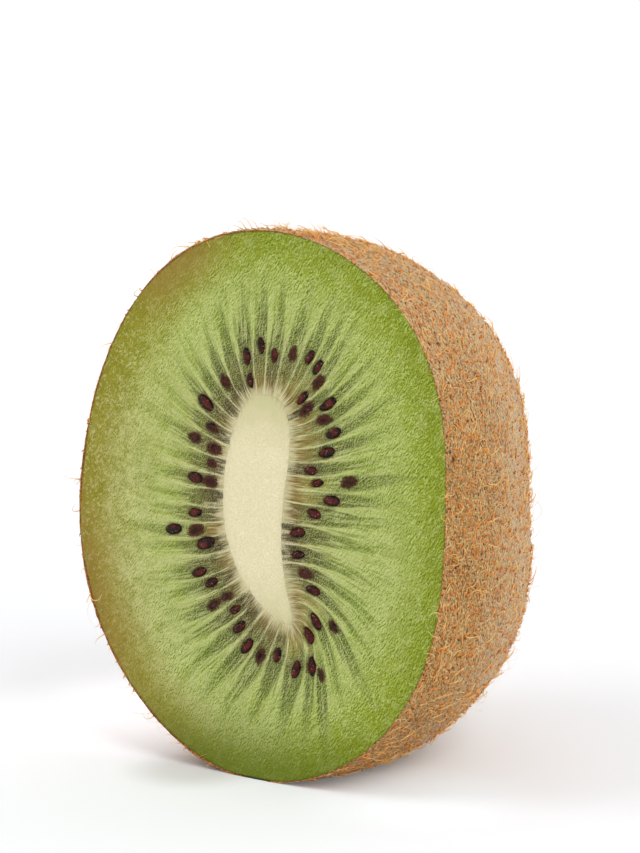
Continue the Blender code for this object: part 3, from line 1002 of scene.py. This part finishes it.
def skin_mesh(shape):
    """The thin brown skin as a closed shell with a worn rim at the cut."""
    thickness = shape.skin_thickness / MM
    clock = np.arange(SKIN_TURNS) * math.tau / SKIN_TURNS
    clock_x, clock_y = np.cos(clock), np.sin(clock)
    inside = packed(*dome(clock, even_rises(12)[-2:0:-1, None], thickness))
    rim_lift = 0.05 * lumps(clock_x * 30.0, clock_y * 30.0, 0.0, 1.3, 21)
    rim_lift = rim_lift + 0.06 * lumps(clock_x * 30.0, clock_y * 30.0, 0.0, 0.5, 22)
    rim = []
    for inset, stand in ((thickness, -0.05), (thickness * 0.8, 0.04), (thickness * 0.2, 0.05), (0.0, -0.02)):
        across, up, behind = dome(clock, 0.0, inset)
        rim.append(packed(across, up, behind - stand - rim_lift))
    rises = even_rises(SKIN_RINGS)[1:-1]
    places = np.concatenate((inside, np.stack(rim), packed(*dome(clock, rises[:, None]))))
    rows = to_world(places)
    x, y, z = (rows[..., axis] / MM for axis in range(3))

    outward = rows - along_face(0.0, 0.0, HALF_DEPTH * 0.35)
    outward /= np.linalg.norm(outward, axis=-1, keepdims=True)
    relief = 0.2 * lumps(x, y, z, 9.0, 31) + 0.09 * lumps(x, y, z, 2.6, 32) + 0.06 * lumps(x, y, z, 0.9, 33)
    is_outside = np.zeros(rows.shape[:2])
    is_outside[len(inside) + 2 :] = 1.0
    calm = np.concatenate((np.zeros(len(inside) + 2), [0.5, 0.7], np.ones(len(rises))))[:, None]
    calm = calm * smooth_step(np.hypot(places[..., 0], places[..., 1]), SCAR_RADIUS, 3.0 * SCAR_RADIUS)
    rows = rows + outward * (relief * calm * MM)[..., None]
    rows[..., 2] = np.maximum(rows[..., 2], 0.0)

    on_rim = (-0.4, -0.3, -0.1, 0.0)
    walked = np.concatenate((np.full(len(inside), -1.0), on_rim, np.linspace(0.4, 52.0, len(rises))))[:, None]
    tangent = np.roll(rows, -1, axis=1) - np.roll(rows, 1, axis=1)
    tangent /= np.linalg.norm(tangent, axis=-1, keepdims=True)
    attributes = {
        "hide_space": packed(clock_x * 26.0, clock_y * 26.0, walked),
        "girth_way": tangent,
        "outside": packed(is_outside, is_outside, is_outside),
    }
    first = along_face(0.0, 0.0, HALF_DEPTH - DIMPLE_DEPTH - thickness)
    last = along_face(0.0, 0.0, HALF_DEPTH - DIMPLE_DEPTH)
    return grid_mesh("skin", rows, first, last, attributes)


class KIWI_OT_skin(bpy.types.Operator):
    """Builds the brown skin with its lumps, its worn rim and its pressed spot underneath"""

    bl_idname = "kiwi.skin"
    bl_label = "Skin"

    def execute(self, context):
        mesh = skin_mesh(context.scene.kiwi_shape)
        show("skin", mesh, skin_finish(context.scene.kiwi_colours), "skin", "fruit_body")
        return {"FINISHED"}


class KIWI_OT_scar(bpy.types.Operator):
    """Builds the small woody scar of the stalk in the dimple at the far end"""

    bl_idname = "kiwi.scar"
    bl_label = "Stalk scar"

    def execute(self, context):
        around, rise = ball_grid(60, 25)
        uneven = 1.0 + 0.05 * np.cos(3.0 * around) + 0.04 * np.sin(7.0 * around)
        radius = SCAR_RADIUS * np.cos(rise) * uneven
        across, up = radius * np.cos(around), radius * np.sin(around)
        ridges = 0.12 * lumps(across, up, 0.0, 0.5, 41) + 0.2 * lumps(across, up, 0.0, 1.4, 42)
        cup = 0.35 * np.exp(-((radius / (0.45 * SCAR_RADIUS)) ** 2))
        bed = HALF_DEPTH - DIMPLE_DEPTH
        rows = along_face(across, up, bed + SCAR_HEIGHT * np.sin(rise) + (ridges - cup) * (rise > 0))
        poles = [along_face(0.0, 0.0, bed + way) for way in (-SCAR_HEIGHT, SCAR_HEIGHT - 0.35)]
        finish = Finish("woody_scar")
        bark = finish.millimetres().noise(1.8, detail=4.0, roughness=0.7)
        dark, middling, pale = tone(70, 46, 28), tone(128, 92, 56), tone(178, 146, 102)
        colour = finish.ramp(bark, (0.3, dark), (0.6, middling), (0.8, pale))
        material = finish.set(Base_Color=colour, Roughness=0.85, Normal=finish.bump(bark, 0.0003, 0.8))
        show("stalk_scar", grid_mesh("stalk_scar", rows, *poles, {}), material, "skin", "fruit_body")
        return {"FINISHED"}


# How strands bend: their two handles and their tip, along, aside and up, in shares of their length
STRAND_BENDS = (
    ((0.25, 0.1, 1.0), (0.7, 0.3, 0.9), (1.0, 0.1, 0.3)),
    ((0.3, -0.15, 1.0), (0.65, -0.35, 0.8), (0.95, -0.05, 0.2)),
    ((0.3, 0.4, 0.9), (0.55, -0.4, 1.0), (0.95, 0.05, 0.5)),
    ((0.5, -0.15, 1.2), (1.0, 0.3, 0.8), (0.55, 0.55, 0.4)),
    ((0.45, 0.2, 1.0), (1.05, -0.25, 1.0), (0.6, -0.6, 0.6)),
    ((0.2, -0.35, 0.8), (0.8, 0.4, 1.0), (1.1, 0.0, 0.9)),
)


# What each coat of hairs may set: hairs to a square metre, lengths in metres, and shares
COAT_INPUTS = ("Density", "Length", "Width", "Lift", "Spread", "Steps", "Seed", "Least height")


def hair_tree(name, material):
    """A node tree that grows hairs on the skin's outside, leaning round the girth."""
    tree = bpy.data.node_groups.new(name, "GeometryNodeTree")
    wires = Wiring(tree)
    tree.interface.new_socket("Geometry", in_out="INPUT", socket_type="NodeSocketGeometry")
    for label in COAT_INPUTS:
        kind = "NodeSocketInt" if label in ("Steps", "Seed") else "NodeSocketFloat"
        tree.interface.new_socket(label, in_out="INPUT", socket_type=kind)
    tree.interface.new_socket("Geometry", in_out="OUTPUT", socket_type="NodeSocketGeometry")
    inputs = {slot.name: slot for slot in tree.nodes.new("NodeGroupInput").outputs}
    outputs = tree.nodes.new("NodeGroupOutput")

    def value(key):
        return Field(wires, inputs[key])

    def vector(x, y, z):
        return wires.field("ShaderNodeCombineXYZ", X=x, Y=y, Z=z)

    def chance(kind, draw, output=0, **limits):
        """A random value on each hair, from a draw of its own."""
        seed = value("Seed") + draw
        return wires.field("FunctionNodeRandomValue", {"data_type": kind}, output, Seed=seed, **limits)

    def above(field, limit):
        return wires.field("FunctionNodeCompare", {"operation": "GREATER_THAN"}, A=field, B=limit)

    def named(label):
        kind = {"data_type": "FLOAT_VECTOR"}
        return wires.field("GeometryNodeInputNamedAttribute", kind, Name=label)

    is_high = above(wires.field("GeometryNodeInputPosition").part(2), value("Least height"))
    is_out = above(named("outside").part(0), 0.99)
    scatter = wires.node(
        "GeometryNodeDistributePointsOnFaces",
        Mesh=inputs["Geometry"],
        Selection=wires.field(
            "FunctionNodeBooleanMath", {"operation": "AND"}, Boolean=is_high, Boolean_001=is_out
        ),
        Density=inputs["Density"],
        Seed=inputs["Seed"],
    )

    profile = wires.field("GeometryNodeCurvePrimitiveCircle", Resolution=3, Radius=value("Width") * 0.5)
    variants = []
    for bends in STRAND_BENDS:
        length = value("Length")
        knots = [vector(length * x, length * y, length * value("Lift") * z) for x, y, z in bends]
        strand = wires.field(
            "GeometryNodeCurvePrimitiveBezierSegment",
            Resolution=inputs["Steps"],
            Start=vector(0.0, 0.0, length * -0.03),
            Start_Handle=knots[0],
            End_Handle=knots[1],
            End=knots[2],
        )
        factor = wires.field("GeometryNodeSplineParameter")
        thin = 1.0 - factor * 0.75
        marked = wires.field("GeometryNodeStoreNamedAttribute", Geometry=strand, Name="along", Value=factor)
        thinned = wires.field("GeometryNodeSetCurveRadius", Curve=marked, Radius=thin)
        tube = wires.field("GeometryNodeCurveToMesh", Curve=thinned, Profile_Curve=profile, Scale=thin)
        variants.append(wires.field("GeometryNodeGeometryToInstance", Geometry=tube))
    bundle = wires.node("GeometryNodeJoinGeometry")
    for variant in variants:
        tree.links.new(variant.socket, bundle.inputs[0])

    outward = scatter.outputs["Normal"]
    upright = wires.field("FunctionNodeAlignRotationToVector", {"axis": "Z"}, Vector=outward)
    leaning = wires.field(
        "FunctionNodeAlignRotationToVector",
        {"axis": "X", "pivot_axis": "Z"},
        Rotation=upright,
        Vector=named("girth_way"),
    )
    spread = value("Spread")
    least, most = vector(-0.15, -0.2, spread * -1.0), vector(0.15, 0.25, spread)
    twist = chance("FLOAT_VECTOR", 1.0, Min=least, Max=most)
    turned = wires.field(
        "FunctionNodeRotateRotation",
        {"rotation_space": "LOCAL"},
        Rotation=leaning,
        Rotate_By=wires.field("FunctionNodeEulerToRotation", Euler=twist),
    )
    hairs = wires.field(
        "GeometryNodeInstanceOnPoints",
        Points=scatter.outputs["Points"],
        Instance=bundle.outputs[0],
        Pick_Instance=True,
        Instance_Index=chance("INT", 3.0, "Value_002", Min_002=0, Max_002=len(variants) - 1),
        Rotation=turned,
        Scale=chance("FLOAT_VECTOR", 2.0, Min=(0.5, 0.5, 0.4), Max=(1.35, 1.2, 1.3)),
    )
    tinted = wires.field(
        "GeometryNodeStoreNamedAttribute",
        {"domain": "INSTANCE"},
        Geometry=hairs,
        Name="tint",
        Value=chance("FLOAT", 4.0, "Value_001"),
    )
    real = wires.field("GeometryNodeRealizeInstances", Geometry=tinted)
    dressed = wires.field("GeometryNodeSetMaterial", Geometry=real, Material=material)
    tree.links.new(dressed.socket, outputs.inputs[0])
    return tree


def grow(name, emitter, tree, inputs):
    """Grows one coat of hairs on a copy of the skin and leaves it as a plain mesh, clear of the floor."""
    bed = bpy.data.objects.new(name, emitter.data.copy())
    bpy.context.scene.collection.objects.link(bed)
    modifier = bed.modifiers.new("hairs", "NODES")
    modifier.node_group = tree
    for socket in tree.interface.items_tree:
        if socket.in_out == "INPUT" and socket.name in inputs:
            modifier[socket.identifier] = inputs[socket.name]
    bpy.context.view_layer.update()
    mesh = bpy.data.meshes.new_from_object(bed.evaluated_get(bpy.context.evaluated_depsgraph_get()))
    bpy.data.objects.remove(bed)
    mesh.name = name
    places = np.zeros(len(mesh.vertices) * 3, np.float32)
    mesh.vertices.foreach_get("co", places)
    places[2::3] = np.maximum(places[2::3], HAIR_CLEARANCE)
    mesh.vertices.foreach_set("co", places)
    for spare in ("hide_space", "girth_way", "outside"):
        if spare in mesh.attributes:
            mesh.attributes.remove(mesh.attributes[spare])
    mesh.shade_smooth()
    return mesh


class KIWI_OT_fuzz(bpy.types.Operator):
    """Grows the short fuzz, in coats that lie round the girth, and the long pale wisps"""

    bl_idname = "kiwi.fuzz"
    bl_label = "Fuzz"

    def execute(self, context):
        shape, colours = context.scene.kiwi_shape, context.scene.kiwi_colours
        skin = bpy.data.objects["skin"]
        area = sum(face.area for face in skin.data.polygons) * 0.5
        body = hair_finish("fuzz", tone(216, 108, 26), colours.hair, colours.hair_tip)
        knob = hair_finish("stubble", tone(76, 34, 8), tone(236, 132, 40), tone(255, 190, 98))
        pale = hair_finish("wisps", colours.hair, colours.hair_tip, tone(250, 236, 206))
        tree = hair_tree("hairs_on_skin", body)
        knob_tree = hair_tree("stubble_on_skin", knob)
        wisp_tree = hair_tree("wisps_on_skin", pale)
        hair, width, wisp = shape.hair_length, shape.hair_width, shape.wisp_length
        coats = (
            ("fuzz_stubble", knob_tree, knob, 1.15, hair * 0.22, width * 2.5, 0.5, 1.6, 2, 1, 0.3 * MM),
            ("fuzz_low", tree, body, 0.5, hair * 0.6, width * 1.25, 0.14, 0.9, 6, 2, 0.3 * MM),
            ("fuzz_high", tree, body, 0.36, hair * 1.05, width * 1.6, 0.22, 2.0, 6, 3, 0.3 * MM),
            ("fuzz_crest", tree, body, 0.4, hair * 0.85, width, 0.7, 2.0, 6, 9, 56.2 * MM),
            ("wisps", wisp_tree, pale, 0.12, wisp, width * 0.5, 0.55, 2.6, 6, 7, 3.0 * MM),
        )
        for name, coat_tree, coat, share, *rest in coats:
            inputs = dict(zip(COAT_INPUTS, (share * shape.hair_count / area, *rest)))
            show(name, grow(name, skin, coat_tree, inputs), coat, "fuzz", "fruit_body")
        return {"FINISHED"}


class KIWI_OT_stage(bpy.types.Operator):
    """Sets up the white sweep, the soft light and the photograph's camera"""

    bl_idname = "kiwi.stage"
    bl_label = "Studio"

    def execute(self, context):
        scene = context.scene
        studio = scene.kiwi_studio
        scene.view_settings.view_transform = "Standard"
        self.sweep()
        self.surround(scene, studio.sky)
        self.soft_light("left_light", (-0.7, -0.55, 0.88), 0.7, studio.left_light)
        self.soft_light("right_light", (0.87, -0.32, 0.88), 0.7, studio.right_light)
        self.camera(scene, studio)
        return {"FINISHED"}

    def sweep(self):
        """A floor that curves up into a backdrop, wide enough for every view, with painted light glowing from
        its paper and a painted contact shadow under the fruit.
        """
        reach, rise, curve = 1.6, 1.6, 0.8
        bend = np.linspace(0.0, math.pi / 2.0, 25)
        profile = [(-reach, 0.0), (0.0, 0.0)]
        profile += [(reach - curve + curve * math.sin(turn), curve - curve * math.cos(turn)) for turn in bend]
        profile.append((reach, rise))
        points = [(x, y, z) for x in (-2.0, 2.0) for y, z in profile]
        count = len(profile)
        faces = [(step, count + step, count + step + 1, step + 1) for step in range(count - 1)]
        mesh = bpy.data.meshes.new("white_sweep")
        mesh.from_pydata(points, [], faces)
        mesh.shade_smooth()
        finish = Finish("white_paper")
        place = finish.millimetres()

        def patch(x, y, rim, heart):
            """1 in the heart of a round patch of the floor and 0 beyond its rim."""
            return place.vector_maths("DISTANCE", (x, y, 0.0), "Value").between(rim, heart)

        # Painted contact shadow under the front edge of the cut: darker paper and no glow there
        painted_contact_shadow = patch(-5.0, -19.5, 9.0, 2.0)
        # Painted light: the paper glows, weaker near the fruit than far off, with brighter patches that lift
        # the lamps' shadows left and right of the fruit
        glow = finish.ramp(patch(0.0, 0.0, 420.0, 40.0), (0.0, (0.2, 0.2, 0.2)), (1.0, (0.055, 0.066, 0.08)))
        glow = glow.layered(
            ((0.19, 0.2, 0.22), patch(-35.0, 10.0, 60.0, 12.0) * 0.45),
            ((0.38, 0.4, 0.44), patch(-23.0, -3.0, 22.0, 4.0) * 0.85),
            ((0.13, 0.18, 0.2), patch(20.0, -14.0, 15.0, 3.0) * 0.9),
            ((0.0, 0.0, 0.0), painted_contact_shadow),
        )
        material = finish.set(
            Base_Color=finish.ramp(painted_contact_shadow, (0.0, tone(249, 249, 250)), (1.0, tone(230, 229, 228))),
            Roughness=0.9,
            Specular_IOR_Level=0.1,
            Emission_Color=glow,
            Emission_Strength=1.0,
        )
        mesh.materials.append(material)
        sweep = bpy.data.objects.new("white_sweep", mesh)
        bpy.context.scene.collection.objects.link(sweep)

    def surround(self, scene, strength):
        world = bpy.data.worlds.new("white_room")
        world.use_nodes = True
        background = world.node_tree.nodes["Background"]
        background.inputs["Color"].default_value = (1.0, 1.0, 1.0, 1.0)
        wires = Wiring(world.node_tree)
        height = wires.field("ShaderNodeTexCoord").part(2)
        band = height.between(-0.1, -0.05) * height.between(0.3, 0.14)
        wires.plug(background.inputs["Strength"], strength + band * (1.02 - strength))
        scene.world = world

    def soft_light(self, name, place, size, power):
        light = bpy.data.lights.new(name, "AREA")
        light.shape = "DISK"
        light.size = size
        light.energy = power
        lamp = bpy.data.objects.new(name, light)
        lamp.location = place
        aim = Vector((0.0, 0.0, 0.03)) - Vector(place)
        lamp.rotation_euler = aim.to_track_quat("-Z", "Y").to_euler()
        bpy.context.scene.collection.objects.link(lamp)

    def camera(self, scene, studio):
        """The photograph's camera, which puts the middle of the cut face on its pixel."""
        azimuth, elevation = studio.azimuth, studio.elevation
        back = Vector((math.sin(azimuth), -math.cos(azimuth), 0.0)) * math.cos(elevation)
        back.z = math.sin(elevation)
        right = Vector((math.cos(azimuth), math.sin(azimuth), 0.0))
        upward = back.cross(right)
        pixels = PHOTO_HEIGHT * studio.lens / SENSOR
        aside = (PHOTO_WIDTH / 2.0 - MIDDLE_IN_PHOTO[0]) / pixels * studio.distance
        above = (MIDDLE_IN_PHOTO[1] - PHOTO_HEIGHT / 2.0) / pixels * studio.distance
        place = Vector(FACE_MIDDLE) * MM + right * aside + upward * above + back * studio.distance
        lens = bpy.data.cameras.new("camera")
        lens.sensor_fit = "VERTICAL"
        lens.sensor_height = SENSOR
        lens.lens = studio.lens
        lens.clip_start = 0.01
        camera = bpy.data.objects.new("camera", lens)
        camera.matrix_world = Matrix.Translation(place) @ Matrix((right, upward, back)).transposed().to_4x4()
        scene.collection.objects.link(camera)
        scene.camera = camera


class KIWI_PT_panel(bpy.types.Panel):
    """Lists the fruit's pieces and its settings"""

    bl_idname = "KIWI_PT_panel"
    bl_label = "Half kiwi fruit"
    bl_space_type = "VIEW_3D"
    bl_region_type = "UI"
    bl_category = "Kiwi"

    def draw(self, context):
        for group in (context.scene.kiwi_shape, context.scene.kiwi_colours, context.scene.kiwi_studio):
            box = self.layout.box()
            for label in group.__annotations__:
                box.prop(group, label)
        for operator in OPERATORS:
            self.layout.operator(operator.bl_idname)


OPERATORS = (
    KIWI_OT_stage,
    KIWI_OT_skin,
    KIWI_OT_flesh,
    KIWI_OT_core,
    KIWI_OT_seeds,
    KIWI_OT_scar,
    KIWI_OT_fuzz,
)
GROUPS = {"kiwi_shape": KiwiShape, "kiwi_colours": KiwiColours, "kiwi_studio": StudioSettings}


def register():
    for group in GROUPS.values():
        bpy.utils.register_class(group)
    for label, group in GROUPS.items():
        setattr(bpy.types.Scene, label, PointerProperty(type=group))
    for operator in OPERATORS:
        bpy.utils.register_class(operator)
    bpy.utils.register_class(KIWI_PT_panel)


def unregister():
    bpy.utils.unregister_class(KIWI_PT_panel)
    for operator in reversed(OPERATORS):
        bpy.utils.unregister_class(operator)
    for label, group in GROUPS.items():
        delattr(bpy.types.Scene, label)
        bpy.utils.unregister_class(group)


def main():
    register()
    bpy.ops.kiwi.stage()
    bpy.ops.kiwi.skin()
    bpy.ops.kiwi.flesh()
    bpy.ops.kiwi.core()
    bpy.ops.kiwi.seeds()
    bpy.ops.kiwi.scar()
    bpy.ops.kiwi.fuzz()


if __name__ == "__main__":
    main()
